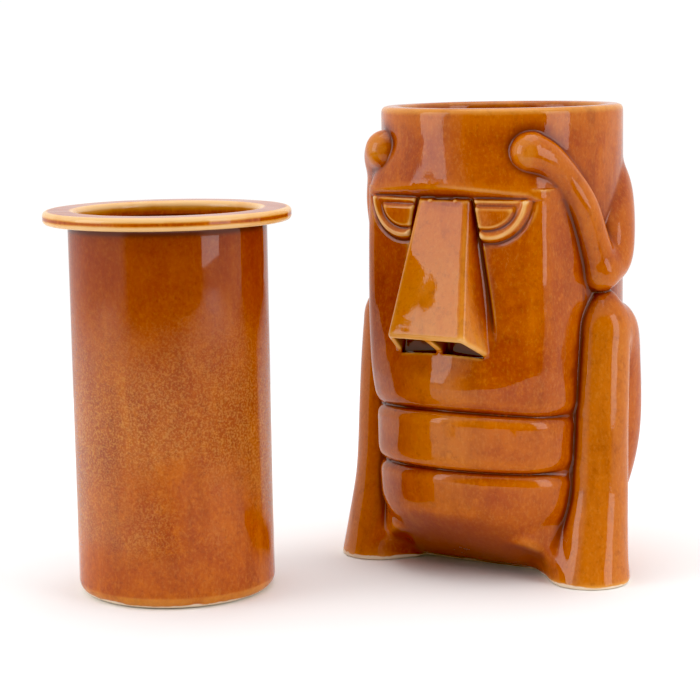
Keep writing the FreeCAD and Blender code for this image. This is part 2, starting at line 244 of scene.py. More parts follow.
def eye_relief(x, z):
    """Height over the face of the eye, a rimmed half-moon, and of the groove beside the nose."""
    outer = half_moon(x, z, 18.0, BROW_Z + 0.5, 14.4, 15.8, BROW_Z + 6.0)
    lid = half_moon(x, z, 16.6, 135.9, 10.4, 8.0, 135.9)
    relief = 0.9 * smooth_step(outer, -0.5, 1.1) + 0.75 * bump(outer, 1.5, 1.1)
    relief = relief - 0.55 * bump(outer, -0.8, 0.9)
    relief = relief + 0.5 * smooth_step(lid, -0.5, 1.0) - 0.45 * bump(lid, -0.4, 0.9)
    seam = 11.0 + (138.0 - z) * 0.188
    groove = bump(x, seam, 0.9) * smooth_step(z, 84.0, 100.0)
    relief = relief * (1.0 - groove) - 0.8 * groove
    return relief * (1.0 - smooth_step(z, BROW_Z - 1.2, BROW_Z - 0.1))


def face_field(grid):
    """The broad upper face from the brow to the groove over the lip, with the eyes."""
    x, y, z = grid
    heights = [58, 68, 76, 90, 106, 124, 140]
    corner_x = stations(z, heights, [37.6, 37.9, 37.7, 37.0, 36.6, 36.2, BROW_SECTION[0]], 3.0)
    corner_y = stations(z, heights, [29.6, 32.4, 34.6, 36.6, 37.2, 37.2, BROW_SECTION[1]], 3.0)
    curve = stations(z, heights, [49.5, 50.0, 54.0, 78.0, 115.0, 135.0, BROW_SECTION[2]], 3.0)
    front = front_wall(grid, corner_x, corner_y, curve) - eye_relief(x, z)
    field = smooth_max(front, side_wall(grid, corner_x, corner_y), 4.6)
    field = smooth_max(field, 59.5 + mouth_arch(x) - z, 7.0)
    field = np.maximum(field, z - (BROW_Z + 3.0))
    return np.maximum(field, y - ROOT[1])


def band_field(grid, corner_x, corner_y, curve, low, high, low_blend, high_blend):
    """A raised band across the face between two heights."""
    front = front_wall(grid, corner_x, corner_y, curve)
    field = smooth_max(front, side_wall(grid, corner_x, corner_y), 7.0)
    field = smooth_max(field, grid[2] - high, high_blend)
    field = smooth_max(field, low - grid[2], low_blend)
    return np.maximum(field, grid[1] - ROOT[1])


def nose_planes(grid):
    """Distances outside the nose's front, flank and foot."""
    left_top = (-NOSE_TOP[0], *NOSE_TOP[1:])
    front = plane_through(grid, left_top, NOSE_TIP, NOSE_TOP)
    flank = plane_through(grid, NOSE_TOP, NOSE_TIP, NOSE_ROOT)
    return front, flank, plane(grid, NOSE_TIP, (0.0, -0.49, -0.872))


def nostril_field(grid):
    """The hollow cut into the nose's foot on either side of the septum."""
    front, flank, foot = nose_planes(grid)
    nostril = smooth_max(1.3 - grid[0], flank + 2.4, 1.6)
    nostril = smooth_max(nostril, front + 2.2, 1.6)
    nostril = smooth_max(nostril, -foot - 7.5, 1.6)
    return smooth_max(nostril, foot - 0.4, 0.8)


def nose_field(grid):
    """A long wedge that widens and stands out towards its foot."""
    _, y, z = grid
    front, flank, foot = nose_planes(grid)
    body = smooth_max(front, flank, 2.2)
    body = smooth_max(body, foot, 1.8)
    body = smooth_max(body, z - 138.0, 0.9)
    return np.maximum(body, y + 30.0)


def head_field(grid):
    """The mug without its limbs: face, lip, chin, round wall, brow and nose."""
    x, y, z = grid
    arch = mouth_arch(x)
    face = face_field(grid)
    lip = band_field(grid, 39.8, 26.6, 45.4, 39.7 + arch, 61.3 + arch, 7.0, 4.6)
    chin_x = stations(z, [0, 12, 26, 40], [28.0, 34.0, 39.4, 39.8], 3.0)
    chin = band_field(grid, chin_x, 26.0, 46.6, -9.0, 40.6 + arch, 4.0, 5.6)
    chin = smooth_max(chin, plane(grid, (0.0, -16.5, 0.0), UNDERCUT), 8.0)
    head = smooth_min(smooth_min(face, lip, 0.6), chin, 0.6)

    wall = smooth_max(np.sqrt(x**2 + y**2) - RIM_R, -y - 36.0, 3.0)
    wall = smooth_max(wall, plane(grid, (0.0, -13.5, 0.0), UNDERCUT), 3.0)
    wall = np.minimum(np.maximum(wall, z - (BROW_Z + 4.0)), crown_field(grid))
    head = smooth_min(head, wall, 0.6)
    head = smooth_min(head, nose_field(grid), 0.8)
    return smooth_max(head, -smooth_max(nostril_field(grid), y + 42.6, 1.2), 1.2)


def figure_field(grid):
    """The outside of the mug."""
    z = grid[2]
    arm = smooth_min(chain(grid, FOREARM), chain(grid, UPPER_ARM), 2.0)
    leg = smooth_min(chain(grid, SHIN), chain(grid, THIGH), 1.6)
    limbs = smooth_min(arm, leg, 1.0)
    blend = stations(z, [0, 8, 22, 60, 170], [10.0, 8.0, 1.4, 1.1, 1.1], 2.0)
    field = smooth_min(head_field(grid), limbs, blend)
    field = smooth_max(field, z - TOP, 2.6)
    return smooth_max(field, -z, 1.4)


def hollow_field(grid):
    """The well for the inner cup and the narrower hollow below it."""
    x, y, z = grid
    well = smooth_max(np.sqrt(x**2 + y**2) - WELL_R, WELL_FLOOR - z, 3.0)
    share = np.clip((WELL_FLOOR + 1.0 - z) / (WELL_FLOOR - 8.0), 0.0, 1.0)
    lower = np.sqrt(x**2 + (y - 14.0 * share) ** 2) - (32.0 - 12.0 * share)
    lower = smooth_max(lower * 0.9, 8.0 - z, 5.0)
    lower = smooth_max(lower, z - (WELL_FLOOR + 4.0), 1.0)
    return smooth_min(well, lower, 2.5)


def outer_field(grid):
    """The mug as if it were solid, on either side of its plane of symmetry."""
    return figure_field([np.abs(grid[0]), grid[1], grid[2]])


def inner_field(grid):
    """All that surrounds the hollow."""
    return -hollow_field(grid)


def mug_field(grid):
    """The whole mug."""
    return smooth_max(outer_field(grid), inner_field(grid), 2.6)


# ------------------------------------------------------------------ from a field to a mesh


def close_pinches(field):
    """Fill grid points where the solid meets itself only across the diagonal of a grid square."""
    for plane_axes in ((0, 1, 2), (1, 2, 0), (0, 2, 1)) * 3:
        grid = field.transpose(plane_axes)
        a, b, c, d = grid[:-1, :-1], grid[1:, :-1], grid[:-1, 1:], grid[1:, 1:]
        for p, q, r, s in ((a, d, b, c), (b, c, a, d)):
            pinch = (p < 0) & (q < 0) & (r >= 0) & (s >= 0)
            nearer = pinch & (r <= s)
            r[nearer] = -0.01
            s[pinch & ~nearer] = -0.01


def surface_nets(field):
    """Vertices, in grid steps, and quads of the surface where a sampled field is zero."""
    inside = field < 0
    cells = np.array(field.shape) - 1
    corners = [(i, j, k) for i in (0, 1) for j in (0, 1) for k in (0, 1)]
    count = np.zeros(cells, np.int8)
    for i, j, k in corners:
        count += inside[i : i + cells[0], j : j + cells[1], k : k + cells[2]]
    active = np.argwhere((count > 0) & (count < 8))
    number = np.full(cells, -1, np.int32)
    number[tuple(active.T)] = np.arange(len(active))
    values = {c: field[tuple((active + c).T)] for c in corners}
    total = np.zeros((len(active), 3))
    hits = np.zeros(len(active))
    for a in corners:
        for axis in (n for n in range(3) if not a[n]):
            b = tuple(1 if n == axis else a[n] for n in range(3))
            crossed = (values[a] < 0) != (values[b] < 0)
            share = np.where(crossed, values[a] / np.where(crossed, values[a] - values[b], 1.0), 0.0)
            place = np.array(a, float)[None, :] + share[:, None] * np.eye(3)[axis]
            total += place * crossed[:, None]
            hits += crossed
    quads = []
    for axis in range(3):
        u, v = (axis + 1) % 3, (axis + 2) % 3
        front, back = [slice(None)] * 3, [slice(None)] * 3
        front[axis], back[axis] = slice(1, None), slice(None, -1)
        edges = np.argwhere(inside[tuple(back)] != inside[tuple(front)])
        outward = inside[tuple(edges.T)]
        ring = []
        for du, dv in ((-1, -1), (0, -1), (0, 0), (-1, 0)):
            cell = edges.copy()
            cell[:, u] += du
            cell[:, v] += dv
            ring.append(number[tuple(cell.T)])
        ring = np.stack(ring, axis=1)
        quads.append(np.where(outward[:, None], ring, ring[:, ::-1]))
    return active + total / hits[:, None], np.concatenate(quads)


def in_pieces(function, points, size=60_000):
    """A field at a list of points, a part of the list at a time."""
    parts = [points[i : i + size].T for i in range(0, len(points), size)]
    return np.concatenate([function(part) for part in parts])


def slope_of(function, points, step=0.12):
    """The field's gradient."""
    columns = []
    for axis in range(3):
        shift = np.eye(3)[axis] * step
        ahead, behind = in_pieces(function, points + shift), in_pieces(function, points - shift)
        columns.append((ahead - behind) / (2 * step))
    return np.stack(columns, axis=1)


def settle(function, points, rounds, most=0.8):
    """Move points onto the surface along the field's slope, by no more than a given step."""
    for _ in range(rounds):
        slope = slope_of(function, points)
        square = np.maximum((slope**2).sum(1), 0.2)
        step = np.clip(in_pieces(function, points) / square, -most, most)
        points = points - step[:, None] * slope
    return points


def safe_step(points, triangles):
    """How far each point can move without meeting the next one: a third of its shortest edge."""
    shortest = np.full(len(points), np.inf)
    for a, b in ((0, 1), (1, 2), (2, 0)):
        start, end = triangles[:, a], triangles[:, b]
        length = np.linalg.norm(points[start] - points[end], axis=1)
        np.minimum.at(shortest, start, length)
        np.minimum.at(shortest, end, length)
    return shortest / 3.0


def normals_of(function, points):
    """Unit normals, read over a longer step than the slope's so that they run smoothly."""
    slope = slope_of(function, points, 0.4)
    return slope / np.linalg.norm(slope, axis=1, keepdims=True)


def refine(points, triangles, chosen):
    """Split each chosen triangle into four, and its neighbours just enough to stay closed."""
    edges = np.sort(triangles[:, [[0, 1], [1, 2], [2, 0]]], axis=2).reshape(-1, 2).astype(np.int64)
    keys, index = np.unique(edges[:, 0] * len(points) + edges[:, 1], return_inverse=True)
    index = index.reshape(-1, 3)
    split = np.zeros(len(keys), bool)
    split[index[chosen]] = True
    number = np.cumsum(split) - 1 + len(points)
    ends = np.stack([keys // len(points), keys % len(points)], axis=1)[split]
    points = np.concatenate([points, points[ends].mean(axis=1)])
    marks, middles = split[index], number[index]
    pieces = [triangles[~marks.any(axis=1)]]

    def cut(rows, *corners):
        pieces.append(np.stack(corners, axis=1)[rows])

    for turn in range(3):
        a, b, c = np.roll(triangles, -turn, axis=1).T
        ab, bc, _ = np.roll(marks, -turn, axis=1).T
        mid_ab, mid_bc, _ = np.roll(middles, -turn, axis=1).T
        one = ab & (marks.sum(axis=1) == 1)
        two = ab & bc & (marks.sum(axis=1) == 2)
        cut(one, a, mid_ab, c)
        cut(one, mid_ab, b, c)
        cut(two, a, mid_ab, c)
        cut(two, mid_ab, mid_bc, c)
        cut(two, mid_ab, b, mid_bc)
    a, b, c = triangles.T
    mid_ab, mid_bc, mid_ca = middles.T
    every = marks.all(axis=1)
    cut(every, a, mid_ab, mid_ca)
    cut(every, mid_ab, b, mid_bc)
    cut(every, mid_ca, mid_bc, c)
    cut(every, mid_ab, mid_bc, mid_ca)
    return points, np.concatenate(pieces)


def bent(points, triangles, normals, least_turn, least_edge):
    """Triangles over which the surface turns sharply and whose edges can still be halved."""
    corners, turns = points[triangles], normals[triangles]
    chosen = np.zeros(len(triangles), bool)
    for a, b in ((0, 1), (1, 2), (2, 0)):
        length = np.linalg.norm(corners[:, a] - corners[:, b], axis=1)
        cosine = (turns[:, a] * turns[:, b]).sum(axis=1)
        chosen |= (cosine < math.cos(math.radians(least_turn))) & (length > least_edge)
    return chosen


def mesh_from(name, points, faces):
    """A smooth-shaded Blender mesh."""
    mesh = bpy.data.meshes.new(name)
    corners = faces.shape[1]
    mesh.vertices.add(len(points))
    mesh.vertices.foreach_set("co", points.astype(np.float32).ravel())
    mesh.loops.add(faces.size)
    mesh.loops.foreach_set("vertex_index", faces.astype(np.int32).ravel())
    mesh.polygons.add(len(faces))
    mesh.polygons.foreach_set("loop_start", np.arange(0, faces.size, corners, dtype=np.int32))
    mesh.update(calc_edges=True)
    mesh.polygons.foreach_set("use_smooth", np.ones(len(mesh.polygons), bool))
    return mesh


def arrays_of(mesh):
    """The points and triangles of a Blender mesh."""
    points = np.empty(len(mesh.vertices) * 3, np.float32)
    mesh.vertices.foreach_get("co", points)
    mesh.calc_loop_triangles()
    triangles = np.empty(len(mesh.loop_triangles) * 3, np.int32)
    mesh.loop_triangles.foreach_get("vertices", triangles)
    return points.reshape(-1, 3).astype(float), triangles.reshape(-1, 3)


def thin_out(name, points, triangles, most):
    """Fewer triangles where the surface is plain, by Blender's own collapse."""
    if len(triangles) <= most:
        return points, triangles
    obj = bpy.data.objects.new(name, mesh_from(name, points, triangles))
    bpy.context.scene.collection.objects.link(obj)
    collapse = obj.modifiers.new("collapse", "DECIMATE")
    collapse.ratio = most / len(triangles)
    collapse.use_collapse_triangulate = True
    thinned = obj.evaluated_get(bpy.context.evaluated_depsgraph_get()).to_mesh()
    points, triangles = arrays_of(thinned)
    mesh = obj.data
    bpy.data.objects.remove(obj)
    bpy.data.meshes.remove(mesh)
    return points, triangles


def set_attribute(mesh, name, values):
    """Store one number per point for the glaze to read."""
    mesh.attributes.new(name, "FLOAT", "POINT").data.foreach_set("value", values.astype(np.float32))


def solidity(function, points, reach, directions):
    """How much of the space round each point is solid: half on a plain surface, more in a groove."""
    total = np.zeros(len(points))
    for shift in directions * reach:
        for side in (1, -1):
            total += np.clip(0.5 - in_pieces(function, points + shift * side) / reach, 0.0, 1.0)
    return total / (2 * len(directions))


def glaze_attributes(mesh, function, points, normals):
    """Where the glaze pools in grooves and is thin on edges, from 0 to 1; the wide pool also holds
    painted shade on low downward-facing surfaces, and proud marks the lighter nose front and shin fronts.
    """
    x, y, z = points.T
    nostrils = 0.4 * smooth_step(-nostril_field([np.abs(x), y, z]), -0.5, -0.05) * (y < -38.0)
    # Painted shade: darker where the surface faces down, low on the mug near the table.
    painted_underside_shade = 0.5 * smooth_step(-normals[:, 2], 0.25, 0.75) * (z < 26.0)
    # Lighter, more golden colour on the front of the nose and the fronts of the shins.
    shins = smooth_step(np.abs(x), 36.0, 44.0) * smooth_step(z, 106.0, 86.0)
    shins = 0.55 * shins * smooth_step(-y, -4.0, 4.0)
    set_attribute(mesh, "proud", np.maximum(smooth_step(-y, 43.0, 55.0), shins))
    count = 11
    up = (np.arange(count) + 0.5) / count
    turn = np.arange(count) * math.pi * (3.0 - math.sqrt(5.0))
    level = np.sqrt(1.0 - up**2)
    directions = np.stack([level * np.cos(turn), level * np.sin(turn), up], axis=1)
    in_hollow = np.abs(in_pieces(inner_field, points)) < np.abs(in_pieces(outer_field, points))
    wide = [solidity(side, points, WIDE, directions) for side in (inner_field, outer_field)]
    near = solidity(function, points, NEAR, directions)
    for solid, suffix in ((near - 0.5, ""), (np.where(in_hollow, *wide) - 0.5, "_wide")):
        pool = np.maximum(np.clip(4.0 * solid, 0.0, 1.0), nostrils)
        # The wide pool also carries the painted underside shade.
        set_attribute(mesh, "pool" + suffix, np.maximum(pool, painted_underside_shade) if suffix else pool)
        set_attribute(mesh, "edge" + suffix, np.clip(-4.0 * solid, 0.0, 1.0))


def sculpted(name, function, low, high):
    """A mesh object of a field in millimetres: fine where the surface turns, plain elsewhere."""
    axes = [np.arange(a, b, VOXEL) for a, b in zip(low, high)]
    grid = [axes[0][:, None, None], axes[1][None, :, None], axes[2][None, None, :]]
    half = function(grid)
    close_pinches(half)
    steps, quads = surface_nets(np.concatenate([half[::-1], half], axis=0))
    start = np.array([-axes[0][-1], axes[1][0], axes[2][0]])
    points = settle(function, start + steps * VOXEL, 2)
    triangles = np.concatenate([quads[:, [0, 1, 2]], quads[:, [0, 2, 3]]])
    for least_turn in LEAST_TURNS:
        normals = normals_of(function, points)
        centre = points[triangles].mean(axis=1)
        on_eyes = (centre[:, 1] < -33) & (np.abs(centre[:, 2] - 131) < 10)
        chosen = bent(points, triangles, normals, least_turn, LEAST_EDGE) | on_eyes
        points, triangles = refine(points, triangles, chosen)
        points = settle(function, points, 1, safe_step(points, triangles))
    points, triangles = thin_out(name, points, triangles, MOST_TRIANGLES)
    points = settle(function, points, 1, safe_step(points, triangles))
    normals = normals_of(function, points)
    mesh = mesh_from(name, points * MM, triangles)
    glaze_attributes(mesh, function, points, normals)
    mesh.normals_split_custom_set_from_vertices(normals.astype(np.float32))
    obj = bpy.data.objects.new(name, mesh)
    bpy.context.scene.collection.objects.link(obj)
    return obj


MARGIN = 2.5  # of empty grid round the mug
mug = sculpted(
    "tiki_figure",
    mug_field,
    (VOXEL / 2, mug_low.y / MM - MARGIN, -MARGIN),
    (mug_high.x / MM + MARGIN, mug_high.y / MM + MARGIN, TOP + MARGIN),
)
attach(mug, "outer_mug")
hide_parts("outer_mug")

# ------------------------------------------------------------------ inner cup


def arc(centre, radius, start, end, count):
    """Points (r, z) on an arc, angles in degrees from outwards, anticlockwise."""
    angles = np.radians(np.linspace(start, end, count))
    return [(centre[0] + radius * math.cos(a), centre[1] + radius * math.sin(a)) for a in angles]


def line(start, end, count):
    """Points between two points, without the points themselves."""
    shares = np.linspace(0.0, 1.0, count + 2)[1:-1]
    return [tuple(np.add(start, np.subtract(end, start) * share)) for share in shares]


def cup_profile():
    """The cup's outline from the middle of its base, round the flange, to the middle of its floor."""
    body_r = mounts["cup_body"]["dims"]["r_mm"] * 0.001 / MM
    mouth_r = mounts["cup_mouth"]["dims"]["r_mm"] * 0.001 / MM
    top = cup_high.z / MM
    flange_r = (cup_high.x - cup_low.x) / 2 / MM
    seat = mounts["flange_seat"]["pos_m"][2] / MM
    points = [(0.0, 1.0), *line((0.0, 1.0), (body_r - 8.3, 1.0), 8)]
    points += arc((body_r - 8.0, 0.4), 0.6, 100, 0, 5)[:-1]
    points += [(body_r - 7.2, 0.0), *line((body_r - 7.2, 0.0), (body_r - 4.6, 0.0), 3)]
    points += arc((body_r - 4.6, 4.6), 4.6, -90, 0, 14)
    points += line((body_r, 4.6), (body_r, seat - 1.2), 70)
    points += arc((body_r + 1.2, seat - 1.2), 1.2, 180, 90, 6)
    points += line((body_r + 1.2, seat), (flange_r - 1.6, seat), 5)
    points += arc((flange_r - 1.6, seat + 1.6), 1.6, -90, 0, 9)
    points += line((flange_r, seat + 1.6), (flange_r, top - 1.6), 2)
    points += arc((flange_r - 1.6, top - 1.6), 1.6, 0, 90, 9)
    points += line((flange_r - 1.6, top), (mouth_r + 2.0, top), 7)
    points += arc((mouth_r + 2.0, top - 2.0), 2.0, 90, 180, 9)
    points += line((mouth_r, top - 2.0), (mouth_r, 10.0), 44)
    points += arc((mouth_r - 5.0, 10.0), 5.0, 0, -90, 9)
    points += line((mouth_r - 5.0, 5.0), (0.0, 5.0), 9)
    return np.array([*points, (0.0, 5.0)])


def profile_turns(profile, reach=0.5):
    """How sharply the outline bends near each point: (inside corners, outside corners), 0 to 1."""
    steps = np.linalg.norm(np.diff(profile, axis=0), axis=1)
    run = np.concatenate([[0.0], np.cumsum(steps)])
    fine = np.arange(0.0, run[-1], 0.1)
    curve = np.stack([np.interp(fine, run, profile[:, n]) for n in (0, 1)], axis=1)
    heading = np.unwrap(np.arctan2(*np.gradient(curve, axis=0).T[::-1]))
    turn = (np.interp(run + reach, fine, heading) - np.interp(run - reach, fine, heading)) / 0.65
    return np.clip(-turn, 0.0, 1.0), np.clip(turn, 0.0, 1.0)


def lathe(name, profile, centre, segments):
    """The outline turned about the cup's axis, very slightly out of round as thrown ware is."""
    pool, edge = profile_turns(profile)
    angles = np.linspace(0.0, 2 * math.pi, segments, endpoint=False)
    r = profile[1:-1, 0][:, None]
    z = np.repeat(profile[1:-1, 1][:, None], segments, axis=1)
    waver = 0.5 + 0.5 * np.sin(2 * angles[None, :] + z * 0.013 + 0.6)
    waver = waver * 0.6 + 0.4 * (0.5 + 0.5 * np.sin(3 * angles[None, :] - z * 0.021))
    r = r - 0.22 * waver * np.clip(z / 30.0, 0.0, 1.0) * np.clip((r - 20.0) / 10.0, 0.0, 1.0)
    rings = np.stack([r * np.cos(angles), r * np.sin(angles), z], axis=2).reshape(-1, 3)
    ends = np.array([[0.0, 0.0, profile[0, 1]], [0.0, 0.0, profile[-1, 1]]])
    points = np.concatenate([rings, ends]) * MM + np.array([*centre, 0.0])
    count = len(profile) - 2
    row, column = np.meshgrid(np.arange(count - 1), np.arange(segments), indexing="ij")
    following = (column + 1) % segments
    a, b = row * segments + column, row * segments + following
    quads = np.stack([a, b, b + segments, a + segments], axis=-1).reshape(-1, 4)
    around = np.arange(segments)
    beyond = (around + 1) % segments
    base = np.stack([np.full(segments, count * segments), beyond, around], axis=1)
    last = (count - 1) * segments
    floor = np.stack([np.full(segments, count * segments + 1), last + around, last + beyond], axis=1)
    halves = [quads[:, [0, 1, 2]], quads[:, [0, 2, 3]]]
    mesh = mesh_from(name, points, np.concatenate([*halves, base, floor]))
    tall = np.abs(profile[:, 1] - cup_high.z / MM / 2) / (cup_high.z / MM / 2)
    for label, values in (
        ("proud", np.zeros(len(profile))),
        ("pool", pool),
        ("pool_wide", 0.5 * pool),
        ("edge", edge),
        ("edge_wide", 0.3 * edge * tall),
    ):
        spread = np.repeat(values[1:-1], segments)
        set_attribute(mesh, label, np.concatenate([spread, values[[0, -1]]]))
    obj = bpy.data.objects.new(name, mesh)
    bpy.context.scene.collection.objects.link(obj)
    return obj


cup_centre = ((cup_low.x + cup_high.x) / 2, (cup_low.y + cup_high.y) / 2)
cup = lathe("flanged_cup", cup_profile(), cup_centre, 288)
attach(cup, "inner_cup")
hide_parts("inner_cup")

# ------------------------------------------------------------------ glaze


class Graph:
    """Short names for building a material's nodes."""

    def __init__(self, name):
        self.material = bpy.data.materials.new(name)
        self.material.use_nodes = True
        self.nodes = self.material.node_tree.nodes
        self.links = self.material.node_tree.links
        self.shader = self.nodes["Principled BSDF"]

    def feed(self, socket, value):
        """Link a socket to the value, or set it."""
        if isinstance(value, bpy.types.NodeSocket):
            self.links.new(value, socket)
        else:
            socket.default_value = value

    def attribute(self, name):
        node = self.nodes.new("ShaderNodeAttribute")
        node.attribute_name = name
        return node.outputs["Fac"]

    def place(self, scale=(1.0, 1.0, 1.0)):
        """Object coordinates in metres, stretched."""
        node = self.nodes.new("ShaderNodeMapping")
        node.inputs["Scale"].default_value = scale
        self.links.new(self.nodes.new("ShaderNodeTexCoord").outputs["Object"], node.inputs["Vector"])
        return node.outputs["Vector"]

    def noise(self, place, scale, detail=3.0, rough=0.55, distortion=0.0):
        node = self.nodes.new("ShaderNodeTexNoise")
        for name, value in (
            ("Vector", place),
            ("Scale", scale),
            ("Detail", detail),
            ("Roughness", rough),
            ("Distortion", distortion),
        ):
            self.feed(node.inputs[name], value)
        return node.outputs["Fac"]

    def spread(self, value, low, high, to_low=0.0, to_high=1.0):
        """Map a range onto another, clamped and eased."""
        node = self.nodes.new("ShaderNodeMapRange")
        node.interpolation_type = "SMOOTHSTEP"
        for name, given in (
            ("Value", value),
            ("From Min", low),
            ("From Max", high),
            ("To Min", to_low),
            ("To Max", to_high),
        ):
            self.feed(node.inputs[name], given)
        return node.outputs["Result"]

    def math(self, operation, *values):
        node = self.nodes.new("ShaderNodeMath")
        node.operation = operation
        for socket, value in zip(node.inputs, values):
            self.feed(socket, value)
        return node.outputs["Value"]

    def mix(self, share, low, high, blend="MIX"):
        node = self.nodes.new("ShaderNodeMix")
        node.data_type = "RGBA"
        node.blend_type = blend
        self.feed(node.inputs["Factor"], share)
        colours = [socket for socket in node.inputs if socket.type == "RGBA"]
        for socket, value in zip(colours, (low, high)):
            self.feed(socket, value)
        return next(socket for socket in node.outputs if socket.type == "RGBA")

    def height(self):
        """Height over the table in metres."""
        node = self.nodes.new("ShaderNodeSeparateXYZ")
        self.links.new(self.place(), node.inputs["Vector"])
        return node.outputs["Z"]


AMBER = (0.35, 0.046, 0.0008, 1)
HONEY = (0.56, 0.130, 0.0025, 1)
RUSSET = (0.20, 0.020, 0.0008, 1)
GOLD = (0.78, 0.36, 0.060, 1)
# Pale cream: glaze worn thin over pale clay, and a painted highlight along the sharpest edges.
CREAM_GLAZE_AND_HIGHLIGHT = (0.92, 0.64, 0.32, 1)
UMBER = (0.110, 0.023, 0.016, 1)
CLAY = (0.82, 0.68, 0.52, 1)


def glaze_material(name, speckle, foot):
    """Glossy amber glaze over pale clay: pooled dark in grooves, thin and golden on edges, with a painted
    cream highlight on the sharpest edges and painted shade on the mug's low undersides.
    """
    graph = Graph(name)
    here = graph.place()
    blotch = graph.noise(here, 46.0, 4.0, 0.6, 0.4)
    streak = graph.noise(graph.place((1.0, 1.0, 0.16)), 120.0, 3.0, 0.6, 0.3)
    mottle = graph.noise(here, 230.0, 4.0, 0.68)
    grain = graph.noise(here, 620.0, 2.0, 0.7)
    flecks = graph.noise(graph.place((1.0, 1.0, 0.6)), 1000.0, 2.0, 0.65)
    colour = graph.mix(graph.spread(blotch, 0.30, 0.72, 0.0, 0.50), AMBER, HONEY)
    edge_wide, proud = graph.attribute("edge_wide"), graph.attribute("proud")
    colour = graph.mix(graph.spread(edge_wide, 0.04, 0.34, 0.0, 0.66), colour, HONEY)
    colour = graph.mix(graph.spread(edge_wide, 0.35, 0.95, 0.0, 0.50), colour, GOLD)
    # Lighter and more golden on the front of the nose and the fronts of the shins.
    colour = graph.mix(graph.spread(proud, 0.0, 1.0, 0.0, 0.8), colour, HONEY)
    colour = graph.mix(graph.spread(proud, 0.0, 1.0, 0.0, 0.22), colour, GOLD)
    colour = graph.mix(graph.spread(streak, 0.50, 0.78, 0.0, 0.35), colour, RUSSET)
    colour = graph.mix(graph.spread(streak, 0.47, 0.26, 0.0, 0.60), colour, HONEY)
    colour = graph.mix(graph.spread(mottle, 0.52, 0.70, 0.0, 0.45), colour, HONEY)
    colour = graph.mix(graph.spread(mottle, 0.48, 0.30, 0.0, 0.26), colour, RUSSET)
    colour = graph.mix(graph.spread(grain, 0.50, 0.74, 0.0, speckle), colour, HONEY)
    colour = graph.mix(graph.spread(grain, 0.46, 0.26, 0.0, speckle), colour, RUSSET)
    colour = graph.mix(graph.spread(flecks, 0.46, 0.72, 0.0, 0.12), colour, GOLD)
    # Russet and umber where glaze pools in broad hollows, plus painted shade on the mug's low undersides.
    pool_wide = graph.attribute("pool_wide")
    colour = graph.mix(graph.spread(pool_wide, 0.06, 0.60, 0.0, 0.9), colour, RUSSET)
    colour = graph.mix(graph.spread(pool_wide, 0.35, 0.95, 0.0, 0.6), colour, UMBER)
    wander = graph.spread(blotch, 0.3, 0.7, 0.75, 1.15)
    edge = graph.math("MULTIPLY", graph.attribute("edge"), wander)
    colour = graph.mix(graph.spread(edge, 0.08, 0.50, 0.0, 0.72), colour, GOLD)
    # Cream on the sharpest edges: partly thin glaze, partly painted highlight.
    colour = graph.mix(graph.spread(edge, 0.34, 0.86, 0.0, 0.60), colour, CREAM_GLAZE_AND_HIGHLIGHT)
    colour = graph.mix(graph.spread(graph.attribute("pool"), 0.16, 0.70, 0.0, 0.92), colour, UMBER)
    ragged = graph.math("ADD", graph.height(), graph.spread(blotch, 0.3, 0.7, -0.0006, 0.0006))
    bare = graph.spread(ragged, foot, foot + 0.0005, 1.0, 0.0)
    colour = graph.mix(bare, colour, CLAY)
    graph.feed(graph.shader.inputs["Base Color"], colour)
    graph.feed(graph.shader.inputs["Roughness"], graph.spread(bare, 0.0, 1.0, 0.30, 0.85))
    graph.feed(graph.shader.inputs["Coat Weight"], graph.spread(bare, 0.0, 1.0, 0.7, 0.0))
    graph.shader.inputs["Coat Roughness"].default_value = 0.025
    graph.shader.inputs["Coat IOR"].default_value = 1.52
    graph.shader.inputs["Specular IOR Level"].default_value = 0.0
    return graph


def add_bumps(graph, layers):
    """Stack bump layers, each (height, distance in metres), under the shader and its coat."""
    normal = None
    for height, distance in layers:
        node = graph.nodes.new("ShaderNodeBump")
        node.inputs["Distance"].default_value = distance
        graph.links.new(height, node.inputs["Height"])
        if normal is not None:
            graph.links.new(normal, node.inputs["Normal"])
        normal = node.outputs["Normal"]
    graph.links.new(normal, graph.shader.inputs["Normal"])
    graph.links.new(normal, graph.shader.inputs["Coat Normal"])


def mug_glaze():
    """The mug's glaze has slow waves, so that reflections wander."""
    graph = glaze_material("mug_amber_glaze", 0.22, 0.0011)
    here = graph.place()
    add_bumps(
        graph,
        [
            (graph.noise(graph.place((1.0, 1.0, 0.6)), 48.0, 2.0, 0.5), 0.0010),
            (graph.noise(here, 1500.0, 1.0, 0.5), 0.000012),
        ],
    )
    return graph.material


